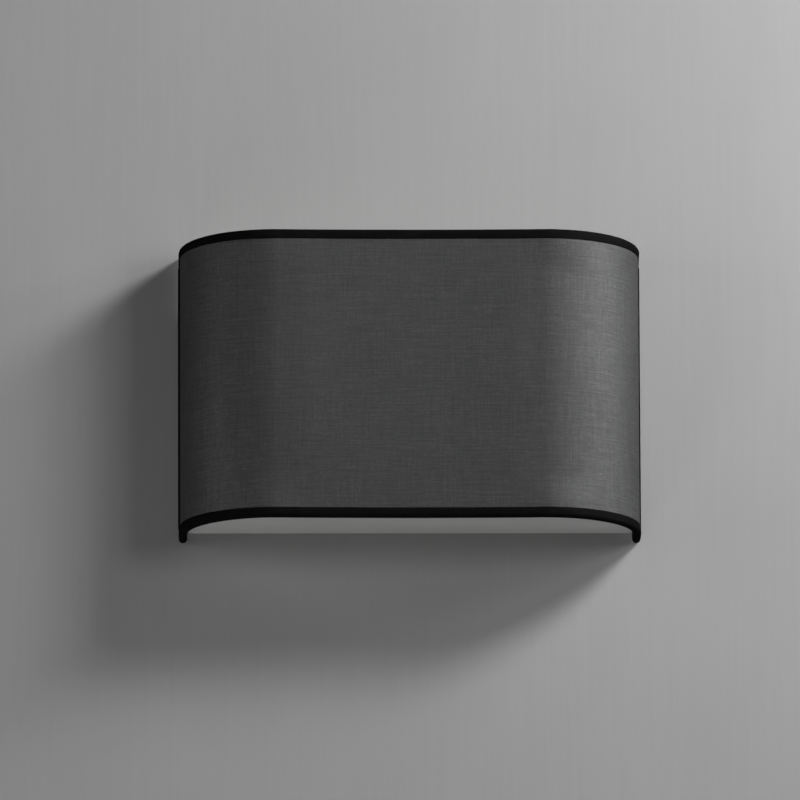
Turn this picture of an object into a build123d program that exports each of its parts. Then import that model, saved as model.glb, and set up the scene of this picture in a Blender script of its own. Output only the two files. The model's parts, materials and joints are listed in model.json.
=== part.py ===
from build123d import *
import math
import os

# Half-round fabric shade wall light, true size in millimetres.
# Frame: the wall is the plane y = 0, the light stands out from it along -Y,
# +X is to the right seen from the room, +Z is up.  The origin is the middle of
# the wall plate's rear face.

os.makedirs("parts", exist_ok=True)

# ----------------------------------------------------------------- shade size
SHADE_WIDTH = 300.0          # over the tape, left to right
SHADE_HEIGHT = 191.0         # over the two taped rims
SHADE_DEPTH = 82.0           # wall to the foremost point of the front
CORNER_RADIUS = 62.5         # plan radius of the two front corners
FRONT_BOW = 1.8              # how far the long front bows in between them
REAR_GAP = 1.0               # rear edge of the shade to the wall

TAPE_THK = 0.3               # binding tape
TAPE_BAND = 7.0              # height of the tape seen on the outside
BEAD_R = 2.75                # outer radius of the taped rim
FABRIC_THK = 0.4             # woven outer layer
LINER_THK = 0.5              # card-like liner behind the weave
WIRE_R = 1.9                 # frame wire
WIRE_INSET = 3.2             # wire centre in from the tape's outer face
WIRE_BEND = 5.0              # centre-line radius where rings turn into uprights
INNER_LEG_TOP = 7.0          # height of the tape on the inside of the top rim
INNER_LEG_BOTTOM = 6.3       # and of the bottom rim, where the diffuser rests

# ----------------------------------------------------------------- wall plate
PLATE_X = 139.0              # half width
PLATE_Z = 62.0               # half height
PLATE_THK = 1.2
FLANGE_DEPTH = 12.0          # side flanges
LAND_X = 121.0               # inner edge of the folded-in lands
RIM_DEPTH = 8.0              # top and bottom flanges
SLOT_X, SLOT_Z = 100.0, 40.0
SLOT_LENGTH, SLOT_WIDTH = 14.0, 5.0
ENTRY_Z = 32.0               # cable entry above the origin
GROMMET_BORE_R = 4.5
M4_R = 2.0

# ------------------------------------------------------------- lamps, holders
LAMP_X = 62.0
LAMP_Y = -42.0
SHELF_TOP = -54.5
BRACKET_WIDTH = 26.0
BRACKET_THK = 1.5
LEAD_R = 1.1

# -------------------------------------------------------------------- fixings
THUMB_X = 131.0
THUMB_HEAD_R = 6.0

# ------------------------------------------------------------------- diffuser
DIFFUSER_THK = 2.0
DIFFUSER_Z = -89.2           # underside
DIFFUSER_INSET = 3.7         # in from the tape's outer face

# ============================================================ derived values
HALF_W = SHADE_WIDTH / 2
RIM_Z = SHADE_HEIGHT / 2 - BEAD_R            # centre height of the rims
REAR_Y = -(REAR_GAP + BEAD_R)                # centre of the rear edge
RING_END_Y = REAR_Y - WIRE_BEND              # where rings meet the uprights
CORNER_CX = HALF_W - CORNER_RADIUS
CORNER_CY = -(SHADE_DEPTH - CORNER_RADIUS)
SWEEP = 2 * math.atan(FRONT_BOW / CORNER_CX)  # extra turn of each corner
SPAN = CORNER_CX / math.sin(SWEEP)
FRONT_CY = CORNER_CY - SPAN * math.cos(SWEEP)


def save(name, *shapes):
    """One STEP file for a node: its solids, as one body or a group."""
    solids = []
    for s in shapes:
        solids += list(s.solids())
    for s in solids:
        assert s.is_valid and s.volume > 0, name
    body = solids[0] if len(solids) == 1 else Compound(children=solids)
    body.label = name
    export_step(body, f"parts/{name}.step")
    return solids


def box(x0, x1, y0, y1, z0, z1):
    return Pos((x0 + x1) / 2, (y0 + y1) / 2, (z0 + z1) / 2) * Box(
        abs(x1 - x0), abs(y1 - y0), abs(z1 - z0))


def turned_z(points, cx=0.0, cy=0.0):
    """Solid of revolution about a vertical axis; points are (radius, z)."""
    face = make_face(Polyline(*[(r, 0, z) for r, z in points], close=True))
    return Pos(cx, cy, 0) * revolve(face, Axis.Z, 360)


def turned_y(points, cx, cz):
    """Solid of revolution about an axis along Y; points are (radius, y)."""
    face = make_face(Polyline(*[(r, y, 0) for r, y in points], close=True))
    return Pos(cx, 0, cz) * revolve(face, Axis.Y, 360)


def cyl_y(r, y0, y1, cx, cz):
    return turned_y([(0, y0), (r, y0), (r, y1), (0, y1)], cx, cz)


def cyl_z(r, z0, z1, cx, cy):
    return turned_z([(0, z0), (r, z0), (r, z1), (0, z1)], cx, cy)


def prism_y(shape2d, y0, y1, cx, cz):
    """2-D shape (drawn as x, z) pushed from y1 to y0, y0 < y1."""
    pl = Plane(origin=(cx, y1, cz), x_dir=(1, 0, 0), z_dir=(0, -1, 0))
    return extrude(pl * shape2d, amount=y1 - y0)


def hex_nut_y(af, bore_r, y0, y1, cx, cz, turn=0.0):
    body = prism_y(Rot(0, 0, turn) * RegularPolygon(af / 2, 6, major_radius=False),
                   y0, y1, cx, cz)
    cone = turned_y([(0, y0), (af * 0.5, y0), (af * 0.62, y0 + 0.6),
                     (af * 0.62, y1), (0, y1)], cx, cz)
    return (body & cone) - cyl_y(bore_r, y0 - 1, y1 + 1, cx, cz)


# ------------------------------------------------------------ plan of the shade
def plan_edges(inset, y_end, z=0.0):
    """Open U-shaped plan line, rear left round the front to rear right."""
    r = CORNER_RADIUS - inset
    x = HALF_W - inset
    front_y = FRONT_CY + (SPAN - r)

    def left(t):
        return (-CORNER_CX + r * math.cos(t), CORNER_CY + r * math.sin(t), z)

    def right(t):
        p = left(t)
        return (-p[0], p[1], p[2])

    a0, a1 = math.pi, 1.5 * math.pi + SWEEP
    am = (a0 + a1) / 2
    return [
        Edge.make_line((-x, y_end, z), left(a0)),
        Edge.make_three_point_arc(left(a0), left(am), left(a1)),
        Edge.make_three_point_arc(left(a1), (0, front_y, z), right(a1)),
        Edge.make_three_point_arc(right(a1), right(am), right(a0)),
        Edge.make_line(right(a0), (x, y_end, z)),
    ]


def plan_band(t0, t1, y_end, z0, z1):
    """Upright band of material between two insets of the plan line."""
    outer = plan_edges(t0, y_end, z0)
    inner = plan_edges(t1, y_end, z0)
    a, b = outer[0] @ 0, inner[0] @ 0
    c, d = outer[-1] @ 1, inner[-1] @ 1
    face = Face(Wire(outer + inner + [Edge.make_line(a, b), Edge.make_line(c, d)]))
    return extrude(face, amount=z1 - z0, dir=(0, 0, 1))


def plan_sheet(inset, y_end, z0, z1):
    """Flat plate filling the plan at an inset, closed by a straight rear edge."""
    outer = plan_edges(inset, y_end, z0)
    face = Face(Wire(outer + [Edge.make_line(outer[0] @ 0, outer[-1] @ 1)]))
    return extrude(face, amount=z1 - z0, dir=(0, 0, 1))


def tape_section(side, y, up, inner_leg):
    """Section of the folded tape: outer leg, round over the wire, inner leg."""
    def p(u, z):
        return (side * (HALF_W - u), y, z)

    zc = up * RIM_Z
    z_out = up * (SHADE_HEIGHT / 2 - TAPE_BAND)
    z_in = up * (SHADE_HEIGHT / 2 - inner_leg)
    w, t, r = 2 * BEAD_R, TAPE_THK, BEAD_R
    edges = [
        Edge.make_line(p(0, z_out), p(0, zc)),
        Edge.make_three_point_arc(p(0, zc), p(r, zc + up * r), p(w, zc)),
        Edge.make_line(p(w, zc), p(w, z_in)),
        Edge.make_line(p(w, z_in), p(w - t, z_in)),
        Edge.make_line(p(w - t, z_in), p(w - t, zc)),
        Edge.make_three_point_arc(p(w - t, zc), p(r, zc + up * (r - t)), p(t, zc)),
        Edge.make_line(p(t, zc), p(t, z_out)),
        Edge.make_line(p(t, z_out), p(0, z_out)),
    ]
    return Face(Wire(edges))


def rear_path(x):
    """Rear edge line: top bend, straight upright, bottom bend."""
    k = WIRE_BEND * math.sqrt(0.5)
    yc, zc = RING_END_Y, RIM_Z - WIRE_BEND
    return Wire([
        Edge.make_three_point_arc((x, yc, RIM_Z), (x, yc + k, zc + k), (x, REAR_Y, zc)),
        Edge.make_line((x, REAR_Y, zc), (x, REAR_Y, -zc)),
        Edge.make_three_point_arc((x, REAR_Y, -zc), (x, yc + k, -zc - k), (x, yc, -RIM_Z)),
    ])


# ===================================================================== SHADE
# Side outline with rounded rear corners, for the two flat layers.
side_outline = extrude(
    Plane(origin=(-HALF_W - 1, 0, 0), x_dir=(0, 1, 0), z_dir=(1, 0, 0))
    * Pos(REAR_Y - 60, 0) * RectangleRounded(120, 2 * RIM_Z, WIRE_BEND),
    amount=SHADE_WIDTH + 2)

fabric_t0 = TAPE_THK
fabric_t1 = fabric_t0 + FABRIC_THK
liner_t1 = fabric_t1 + LINER_THK
fabric = plan_band(fabric_t0, fabric_t1, REAR_Y, -RIM_Z, RIM_Z) & side_outline
liner = plan_band(fabric_t1, liner_t1, REAR_Y, -RIM_Z, RIM_Z) & side_outline
save("shade_fabric", fabric)
save("shade_liner", liner)

# Folded tape along the top and bottom rims.
rim_path_top = Wire(plan_edges(BEAD_R, RING_END_Y, RIM_Z))
rim_path_bottom = Wire(plan_edges(BEAD_R, RING_END_Y, -RIM_Z))
trim_top = sweep(tape_section(-1, RING_END_Y, 1, INNER_LEG_TOP), rim_path_top)
trim_bottom = sweep(tape_section(-1, RING_END_Y, -1, INNER_LEG_BOTTOM), rim_path_bottom)
save("trim_top", trim_top)
save("trim_bottom", trim_bottom)

# Folded tape down each rear edge, cut open inside where the bracket is welded.
for side, name in ((-1, "left"), (1, "right")):
    rear = sweep(tape_section(side, RING_END_Y, 1, INNER_LEG_TOP),
                 rear_path(side * (HALF_W - BEAD_R)))
    inner = side * (HALF_W - 2 * BEAD_R)
    notch = box(inner - side * 1.0, inner + side * 0.45, REAR_Y - 8, -1.5, -50.4, 50.4)
    save(f"trim_rear_{name}", rear - notch)

# Frame wires: an open ring at each rim and an upright at each rear edge.
for z, name in ((RIM_Z, "top"), (-RIM_Z, "bottom")):
    path = Wire(plan_edges(WIRE_INSET, RING_END_Y, z))
    section = Plane(origin=(-(HALF_W - WIRE_INSET), RING_END_Y, z),
                    z_dir=(0, -1, 0)) * Circle(WIRE_R)
    save(f"ring_{name}", sweep(section, path))
for side, name in ((-1, "left"), (1, "right")):
    x = side * (HALF_W - WIRE_INSET)
    section = Plane(origin=(x, RING_END_Y, RIM_Z), z_dir=(0, 1, 0)) * Circle(WIRE_R)
    save(f"upright_{name}", sweep(section, rear_path(x)))

# Strip brackets welded to the uprights; they lie on the plate's lands.
for side, name in ((-1, "left"), (1, "right")):
    leg = box(side * 143.3, side * 144.8, -13.6, -2.0, -50, 50)
    front = box(side * 122.0, side * 144.8, -13.6, -12.1, -50, 50)
    strip = leg + front
    outer_edge = [e for e in strip.edges().filter_by(Axis.Z)
                  if abs(e.center().X - side * 144.8) < 0.01 and abs(e.center().Y + 13.6) < 0.01]
    inner_edge = [e for e in strip.edges().filter_by(Axis.Z)
                  if abs(e.center().X - side * 143.3) < 0.01 and abs(e.center().Y + 12.1) < 0.01]
    strip = fillet(outer_edge, 2.2)
    inner_edge = [e for e in strip.edges().filter_by(Axis.Z)
                  if abs(e.center().X - side * 143.3) < 0.01 and abs(e.center().Y + 12.1) < 0.01]
    strip = fillet(inner_edge, 0.7)
    corner = [e for e in strip.edges().filter_by(Axis.Y)
              if abs(e.center().X - side * 122.0) < 0.01]
    strip = fillet(corner, 5.0)
    strip = strip - cyl_y(2.3, -15, -11, side * THUMB_X, 0)
    save(f"shade_bracket_{name}", strip)

# Plain washers under the thumb screw heads.
washers = [turned_y([(2.2, -14.4), (5.0, -14.4), (5.0, -13.6), (2.2, -13.6)],
                    s * THUMB_X, 0) for s in (-1, 1)]
save("thumb_washers", *washers)

# ============================================================== THUMB SCREWS
for side, name in ((-1, "left"), (1, "right")):
    teeth = 30
    pts = []
    for i in range(teeth * 2):
        r = THUMB_HEAD_R if i % 2 == 0 else THUMB_HEAD_R - 0.45
        a = math.pi * i / teeth
        pts.append((r * math.cos(a), r * math.sin(a)))
    head = prism_y(make_face(Polyline(*pts, close=True)), -22.4, -16.2, side * THUMB_X, 0)
    head_form = turned_y([(0, -22.4), (5.2, -22.4), (6.0, -21.6), (6.0, -17.0),
                          (5.2, -16.2), (0, -16.2)], side * THUMB_X, 0)
    collar = turned_y([(0, -16.2), (4.2, -16.2), (4.2, -14.4), (0, -14.4)],
                      side * THUMB_X, 0)
    shank = turned_y([(0, -14.4), (M4_R, -14.4), (M4_R, -6.6), (1.5, -6.0), (0, -6.0)],
                     side * THUMB_X, 0)
    dish = turned_y([(0, -22.5), (3.2, -22.5), (2.6, -21.9), (0, -21.9)],
                    side * THUMB_X, 0)
    save(f"thumb_screw_{name}", (head & head_form) + collar + shank - dish)

# ================================================================== DIFFUSER
# Opal plate lying on the inner edge of the bottom tape, cut back at the rear
# corners so that it lifts past the uprights.
plate = plan_sheet(DIFFUSER_INSET, -2.0, DIFFUSER_Z, DIFFUSER_Z + DIFFUSER_THK)
for side in (-1, 1):
    plate = plate - box(side * 143.7, side * 160, -10.2, 1.0, -95, -80)
save("diffuser", plate)

# ================================================================ WALL PLATE
panel = box(-PLATE_X, PLATE_X, -PLATE_THK, 0, -PLATE_Z, PLATE_Z)
tray = panel
for side in (-1, 1):
    tray = tray + box(side * (PLATE_X - PLATE_THK), side * PLATE_X,
                      -FLANGE_DEPTH, 0, -PLATE_Z, PLATE_Z)
    tray = tray + box(side * LAND_X, side * PLATE_X,
                      -FLANGE_DEPTH, -FLANGE_DEPTH + PLATE_THK, -PLATE_Z, PLATE_Z)
    tray = tray + box(-PLATE_X + 1.5, PLATE_X - 1.5, -RIM_DEPTH, 0,
                      side * (PLATE_Z - PLATE_THK), side * PLATE_Z)
fold = [e for e in tray.edges().filter_by(Axis.Z)
        if abs(abs(e.center().X) - PLATE_X) < 0.01
        and abs(e.center().Y + FLANGE_DEPTH) < 0.01]
tray = fillet(fold, 1.0)
# raised boss round the cable entry, so that the cable can turn in behind it
tray = tray - cyl_y(18.0, -3, 1, 0, ENTRY_Z)
boss = turned_y([(18.0, -1.2), (16.5, -4.2), (7.1, -4.2), (7.1, -3.0),
                 (15.7, -3.0), (17.2, 0), (18.0, 0)], 0, ENTRY_Z)
tray = tray + boss
for sx in (-1, 1):
    for sz in (-1, 1):
        tray = tray - prism_y(SlotOverall(SLOT_LENGTH, SLOT_WIDTH), -3, 1,
                              sx * SLOT_X, sz * SLOT_Z)
    tray = tray - cyl_y(2.25, -13, -10, sx * THUMB_X, 0)
save("wall_plate", tray)

# Square weld nuts behind the lands, for the thumb screws.
nuts = []
for side in (-1, 1):
    n = box(side * THUMB_X - 3.5, side * THUMB_X + 3.5, -10.8, -7.6, -3.5, 3.5)
    nuts.append(n - cyl_y(M4_R + 0.1, -12, -6, side * THUMB_X, 0))
save("weld_nuts", *nuts)

# Rubber grommet in the boss.
grommet = turned_y([
    (GROMMET_BORE_R, -1.9), (4.9, -1.5), (8.6, -1.5), (9.0, -1.9), (9.0, -2.95),
    (7.0, -2.95), (7.0, -4.25), (9.0, -4.25), (9.0, -5.2), (8.2, -6.0),
    (5.1, -6.0), (GROMMET_BORE_R, -5.4)], 0, ENTRY_Z)
save("cable_grommet", grommet)

# ---------------------------------------------------------------- weld studs
CLAMP_X, CLAMP_Z = 11.0, 6.5
EARTH_X, EARTH_Z = -36.0, -44.0
BRACKET_STUD_DX, BRACKET_STUD_Z = 8.0, -40.0
BLOCK_STUD_X, BLOCK_Z = 6.5, -14.5


def stud(r, length, cx, cz):
    y0 = -PLATE_THK - length
    return turned_y([(0, y0), (r - 0.4, y0), (r, y0 + 0.4), (r, -PLATE_THK),
                     (0, -PLATE_THK)], cx, cz)


studs = []
nut_seats = []                      # (x, z, y of the face under the nut)
for s in (-1, 1):
    studs.append(stud(M4_R, 7.5, s * CLAMP_X, CLAMP_Z))
    nut_seats.append((s * CLAMP_X, CLAMP_Z, -2.7))
    for t in (-1, 1):
        x = s * LAMP_X + t * BRACKET_STUD_DX
        studs.append(stud(M4_R, 7.5, x, BRACKET_STUD_Z))
        nut_seats.append((x, BRACKET_STUD_Z, -2.7))
    studs.append(stud(1.25, 11.5, s * BLOCK_STUD_X, BLOCK_Z))
studs.append(stud(M4_R, 8.0, EARTH_X, EARTH_Z))
nut_seats.append((EARTH_X, EARTH_Z, -3.0))
save("plate_studs", *studs)

m4_nuts = [hex_nut_y(7.0, M4_R + 0.05, y - 3.2, y, x, z, 7.0 * i)
           for i, (x, z, y) in enumerate(nut_seats)]
save("m4_nuts", *m4_nuts)

# Saddle clamp that grips the incoming cable.
saddle = (Pos(0, -1.95) * Rectangle(32, 1.5)
          + Pos(0, -3.1) * Rectangle(11, 3.8)
          + Pos(0, -5.0) * Circle(5.5))
saddle = (saddle - Pos(0, -3.0) * Rectangle(8, 4.0) - Pos(0, -5.0) * Circle(4.0)
          - Pos(0, 3.8) * Rectangle(40, 10))
clamp = extrude(Plane(origin=(0, 0, CLAMP_Z - 5)) * saddle, amount=10)
ends = [e for e in clamp.edges().filter_by(Axis.Y) if abs(abs(e.center().X) - 16) < 0.01]
clamp = fillet(ends, 3.0)
for s in (-1, 1):
    clamp = clamp - cyl_y(2.15, -4, 0, s * CLAMP_X, CLAMP_Z)
save("cable_clamp", clamp)

# ------------------------------------------------------------ terminal block
POLES = (-13.0, 0.0, 13.0)
POLE_Y = -7.2
block = box(-19.5, 19.5, -9.4, -PLATE_THK, -24.0, -5.0)
for px in POLES:
    for z in (-18.5, -10.5):
        block = block + cyl_y(3.8, -15.2, -9.0, px, z)
    block = block + box(px - 3.8, px + 3.8, -12.6, -9.0, -18.5, -10.5)
vertical = [e for e in block.edges().filter_by(Axis.Y)
            if abs(abs(e.center().X) - 19.5) < 0.01]
block = fillet(vertical, 1.5)
for px in POLES:
    block = block - cyl_z(3.1, -25, -4, px, POLE_Y)
    for z in (-18.5, -10.5):
        block = block - cyl_y(2.8, -16, -10.6, px, z) - cyl_y(1.7, -11, -8, px, z)
for s in (-1, 1):
    block = block - cyl_y(1.4, -12, 0, s * BLOCK_STUD_X, BLOCK_Z)
save("terminal_block", block)

inserts, term_screws = [], []
for px in POLES:
    ins = cyl_z(3.0, -22.5, -6.5, px, POLE_Y) - cyl_z(1.7, -24, -5, px, POLE_Y)
    for z in (-18.5, -10.5):
        ins = ins - cyl_y(1.5, -11, POLE_Y, px, z)
        head = cyl_y(2.4, -13.6, -11.4, px, z)
        slot = box(px - 2.6, px + 2.6, -14, -12.8, z - 0.35, z + 0.35)
        term_screws.append((head - slot) + cyl_y(1.4, -11.4, -8.0, px, z))
    inserts.append(ins)
save("terminal_inserts", *inserts)
save("terminal_screws", *term_screws)
save("terminal_nuts", *[hex_nut_y(5.0, 1.3, -11.4, -9.4, s * BLOCK_STUD_X, BLOCK_Z, 30)
                        for s in (-1, 1)])

# --------------------------------------------------------------- earth point
save("earth_washer", turned_y([(2.15, -2.2), (4.2, -2.2), (4.2, -1.2), (2.15, -1.2)],
                              EARTH_X, EARTH_Z))
tongue = cyl_y(4.0, -3.0, -2.2, EARTH_X, EARTH_Z) \
    + box(EARTH_X, EARTH_X + 5.5, -3.0, -2.2, EARTH_Z - 1.8, EARTH_Z + 1.8)
tongue = tongue - cyl_y(2.15, -4, -1, EARTH_X, EARTH_Z)
barrel = Pos(EARTH_X + 7.5, -3.4, EARTH_Z) * Rot(0, 90, 0) * Cylinder(1.8, 5.0)
save("earth_ring_terminal", tongue + barrel)

# ============================================================= LAMP BRACKETS
for side, name in ((-1, "left"), (1, "right")):
    x0, x1 = side * LAMP_X - BRACKET_WIDTH / 2, side * LAMP_X + BRACKET_WIDTH / 2
    back = box(x0, x1, -PLATE_THK - BRACKET_THK, -PLATE_THK, SHELF_TOP - BRACKET_THK, -28)
    shelf = box(x0, x1, -57, -PLATE_THK, SHELF_TOP - BRACKET_THK, SHELF_TOP)
    br = back + shelf
    lower = [e for e in br.edges().filter_by(Axis.X)
             if abs(e.center().Y + PLATE_THK) < 0.01
             and abs(e.center().Z - (SHELF_TOP - BRACKET_THK)) < 0.01]
    br = fillet(lower, 2.2)
    inner = [e for e in br.edges().filter_by(Axis.X)
             if abs(e.center().Y + PLATE_THK + BRACKET_THK) < 0.01
             and abs(e.center().Z - SHELF_TOP) < 0.01]
    br = fillet(inner, 0.7)
    tips = [e for e in br.edges().filter_by(Axis.Z) if abs(e.center().Y + 57) < 0.01]
    tips += [e for e in br.edges().filter_by(Axis.Y) if abs(e.center().Z + 28) < 0.01]
    br = fillet(tips, 5.0)
    br = br - cyl_z(5.2, -60, -50, side * LAMP_X, LAMP_Y)
    for t in (-1, 1):
        br = br - cyl_y(2.15, -4, 0, side * LAMP_X + t * BRACKET_STUD_DX, BRACKET_STUD_Z)
    save(f"lamp_bracket_{name}", br)

# ============================================================== LAMP HOLDERS
INSERT_TOP = -34.0
nipples, nipple_nuts, nipple_washers, contacts = [], [], [], []
for side, name in ((-1, "left"), (1, "right")):
    cx, cy = side * LAMP_X, LAMP_Y
    save(f"holder_base_{name}", turned_z([
        (5.05, -54.5), (12.2, -54.5), (13.0, -53.7), (13.0, -38.0), (11.0, -38.0),
        (11.0, -46.5), (9.0, -46.5), (9.0, -52.0), (5.05, -52.0)], cx, cy))
    insert = turned_z([
        (0, -46.5), (10.9, -46.5), (10.9, -43.6), (9.5, -43.6), (9.5, INSERT_TOP),
        (0, INSERT_TOP)], cx, cy)
    stem_live = (cx + side * 2.2, cy)
    stem_return = (cx - side * 6.2, cy)
    insert = insert - cyl_z(1.1, -48, -30, *stem_live) - cyl_z(1.1, -48, -30, *stem_return)
    save(f"holder_insert_{name}", insert)
    save(f"holder_shell_{name}", turned_z([
        (5.2, INSERT_TOP), (9.0, INSERT_TOP), (9.0, -33.4), (8.2, -33.4), (8.2, -12.6),
        (7.45, -12.6), (7.45, -33.4), (5.2, -33.4)], cx, cy))
    save(f"holder_skirt_{name}", turned_z([
        (9.7, -43.5), (10.9, -43.5), (10.9, -38.0), (13.0, -38.0), (13.0, -34.0),
        (12.2, -12.0), (11.0, -10.5), (7.8, -10.5), (7.6, -10.9), (7.6, -12.3),
        (9.7, -12.3)], cx, cy))
    # brass terminals below the insert, with stems up to the contacts
    live = (box(cx + side * 0.4, cx + side * 3.6, cy - 2.4, cy + 2.4, -50.0, -46.6)
            + cyl_z(0.9, -47, INSERT_TOP, *stem_live)
            + cyl_z(3.2, INSERT_TOP, -33.4, cx, cy))
    back = (box(cx - side * 0.4, cx - side * 7.4, cy - 2.4, cy + 2.4, -50.0, -46.6)
            + cyl_z(0.9, -47, INSERT_TOP, *stem_return))
    contacts += [live, back]
    nipples.append(turned_z([(3.75, -63.0), (4.7, -63.0), (5.0, -62.7), (5.0, -51.4),
                             (3.75, -51.4)], cx, cy))
    nipple_washers.append(turned_z([(5.2, -57.0), (9.0, -57.0), (9.0, -56.0),
                                    (5.2, -56.0)], cx, cy))
    nut = extrude(Plane(origin=(cx, cy, -60.0)) * RegularPolygon(7.0, 6, major_radius=False),
                  amount=3.0)
    nipple_nuts.append(nut - cyl_z(5.05, -61, -56, cx, cy))
save("holder_contacts", *contacts)
save("nipples", *nipples)
save("nipple_washers", *nipple_washers)
save("nipple_nuts", *nipple_nuts)


# ===================================================================== LEADS
def lead(name, points, radii):
    """Round lead of straight runs joined by tangent arcs, square-cut ends."""
    path = FilletPolyline(*points, radius=radii)
    wire = Wire(path.edges()) if not isinstance(path, Wire) else path
    start, tangent = wire @ 0, wire % 0
    if (start - Vector(*points[0])).length > 0.01:
        start, tangent = wire @ 1, wire % 1
    body = sweep(Plane(origin=start, z_dir=tangent) * Circle(LEAD_R), wire)
    want = math.pi * LEAD_R ** 2 * wire.length
    print(f"{name}: length {wire.length:.1f} mm, radii {radii}, "
          f"volume {body.volume:.1f} of {want:.1f}")
    save(name, body)


ENTRY_END = -22.5
for side, name in ((-1, "left"), (1, "right")):
    x = side * (LAMP_X + 1.7)
    pole = -14.25 if side < 0 else -11.75
    lead(f"lead_live_{name}",
         [(x, LAMP_Y, -50.0), (x, LAMP_Y, -72.0), (side * 36, -14.5, -72.0),
          (pole, -11.5, -72.0), (pole, POLE_Y, -37.0), (pole, POLE_Y, ENTRY_END)],
         [9.0, 24.0, 9.0 if side < 0 else 14.0, 40.0])
    x = side * (LAMP_X - 1.7)
    pole = 11.75 if side < 0 else 14.25
    lead(f"lead_neutral_{name}",
         [(x, LAMP_Y, -50.0), (x, LAMP_Y, -69.0), (side * 34, -18.0, -69.0),
          (pole, -14.6, -69.0), (pole, POLE_Y, -36.0), (pole, POLE_Y, ENTRY_END)],
         [6.0, 24.0, 14.0 if side < 0 else 8.5, 40.0])
lead("earth_lead",
     [(EARTH_X + 10.0, -3.4, EARTH_Z), (0.0, -3.4, EARTH_Z), (0.0, POLE_Y, -32.5),
      (0.0, POLE_Y, ENTRY_END)], [5.2, 12.0])

# ===================================================================== LAMPS
PITCH = 2.82                 # screw cap thread
for side, name in ((-1, "left"), (1, "right")):
    cx, cy = side * LAMP_X, LAMP_Y
    # screw cap: rolled thread between a plain foot and a plain rim
    pts = [(6.2, -12.2), (6.2, -30.6), (4.6, -31.6), (4.2, -31.6), (4.9, -31.9),
           (6.6, -30.9)]
    z = -30.4
    while z < -15.5:
        for k, r in ((0.0, 6.45), (0.16, 6.55), (0.34, 6.88), (0.5, 6.95),
                     (0.66, 6.88), (0.84, 6.55)):
            pts.append((r, z + k * PITCH))
        z += PITCH
    pts += [(6.45, z), (6.6, z + 0.4), (6.6, -12.2)]
    save(f"lamp_{name}_cap", turned_z(pts, cx, cy))
    save(f"lamp_{name}_insulator", turned_z([
        (0, -32.7), (2.5, -32.7), (4.1, -31.7), (4.5, -31.4), (6.1, -30.4), (6.1, -29.6),
        (0, -29.6)], cx, cy))
    save(f"lamp_{name}_contact", turned_z([
        (0, -33.3), (1.5, -33.3), (2.2, -33.0), (2.2, -32.7), (0, -32.7)], cx, cy))
    save(f"lamp_{name}_housing", turned_z([
        (6.25, -12.1), (7.2, -12.1), (7.2, -9.6), (7.8, -8.2), (9.6, -4.6), (12.0, 0.2),
        (14.1, 4.6), (15.3, 8.0), (14.1, 8.0), (13.0, 5.1), (10.9, 0.7), (8.5, -4.1),
        (6.25, -8.6)], cx, cy))
    save(f"lamp_{name}_led_board", turned_z([
        (0, 5.4), (12.9, 5.4), (12.9, 7.0), (5.0, 7.0), (4.0, 16.0), (3.0, 17.0), (0, 17.0)],
        cx, cy))
    # translucent candle envelope, of arcs, with a small flat at the tip
    axis_face = make_face([
        Edge.make_three_point_arc((15.3, 0, 8.05), (17.0, 0, 16.0), (17.5, 0, 24.0)),
        Edge.make_three_point_arc((17.5, 0, 24.0), (15.6, 0, 40.0), (9.8, 0, 54.5)),
        Edge.make_three_point_arc((9.8, 0, 54.5), (5.6, 0, 61.8), (0.8, 0, 67.0)),
        Edge.make_line((0.8, 0, 67.0), (0, 0, 67.0)),
        Edge.make_line((0, 0, 67.0), (0, 0, 65.4)),
        Edge.make_line((0, 0, 65.4), (0.6, 0, 65.4)),
        Edge.make_three_point_arc((0.6, 0, 65.4), (4.7, 0, 61.0), (8.7, 0, 54.1)),
        Edge.make_three_point_arc((8.7, 0, 54.1), (14.5, 0, 39.7), (16.4, 0, 24.0)),
        Edge.make_three_point_arc((16.4, 0, 24.0), (15.9, 0, 16.1), (14.2, 0, 8.05)),
        Edge.make_line((14.2, 0, 8.05), (15.3, 0, 8.05)),
    ])
    envelope = Pos(cx, cy, 0) * revolve(axis_face, Axis.Z, 360)
    save(f"lamp_{name}_envelope", envelope)

print("parts written:", len(os.listdir("parts")))
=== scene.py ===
import json
import math
import bmesh
import bpy
import numpy as np
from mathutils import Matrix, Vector, noise


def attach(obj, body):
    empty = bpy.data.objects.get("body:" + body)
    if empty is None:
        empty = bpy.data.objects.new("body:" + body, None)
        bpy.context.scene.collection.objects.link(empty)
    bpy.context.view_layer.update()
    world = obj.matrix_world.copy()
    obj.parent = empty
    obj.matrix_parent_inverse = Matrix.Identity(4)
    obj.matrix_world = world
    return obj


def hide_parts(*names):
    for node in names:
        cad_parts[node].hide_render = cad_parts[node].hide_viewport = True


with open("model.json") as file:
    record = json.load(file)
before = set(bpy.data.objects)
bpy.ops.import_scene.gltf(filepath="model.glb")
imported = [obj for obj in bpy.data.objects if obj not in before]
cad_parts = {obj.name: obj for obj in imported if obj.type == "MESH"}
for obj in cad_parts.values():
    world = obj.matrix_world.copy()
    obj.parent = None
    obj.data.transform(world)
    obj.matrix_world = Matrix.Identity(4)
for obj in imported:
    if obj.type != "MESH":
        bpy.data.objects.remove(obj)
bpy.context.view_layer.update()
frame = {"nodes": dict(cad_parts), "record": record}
scene = bpy.context.scene
nodes = frame["nodes"]

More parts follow.
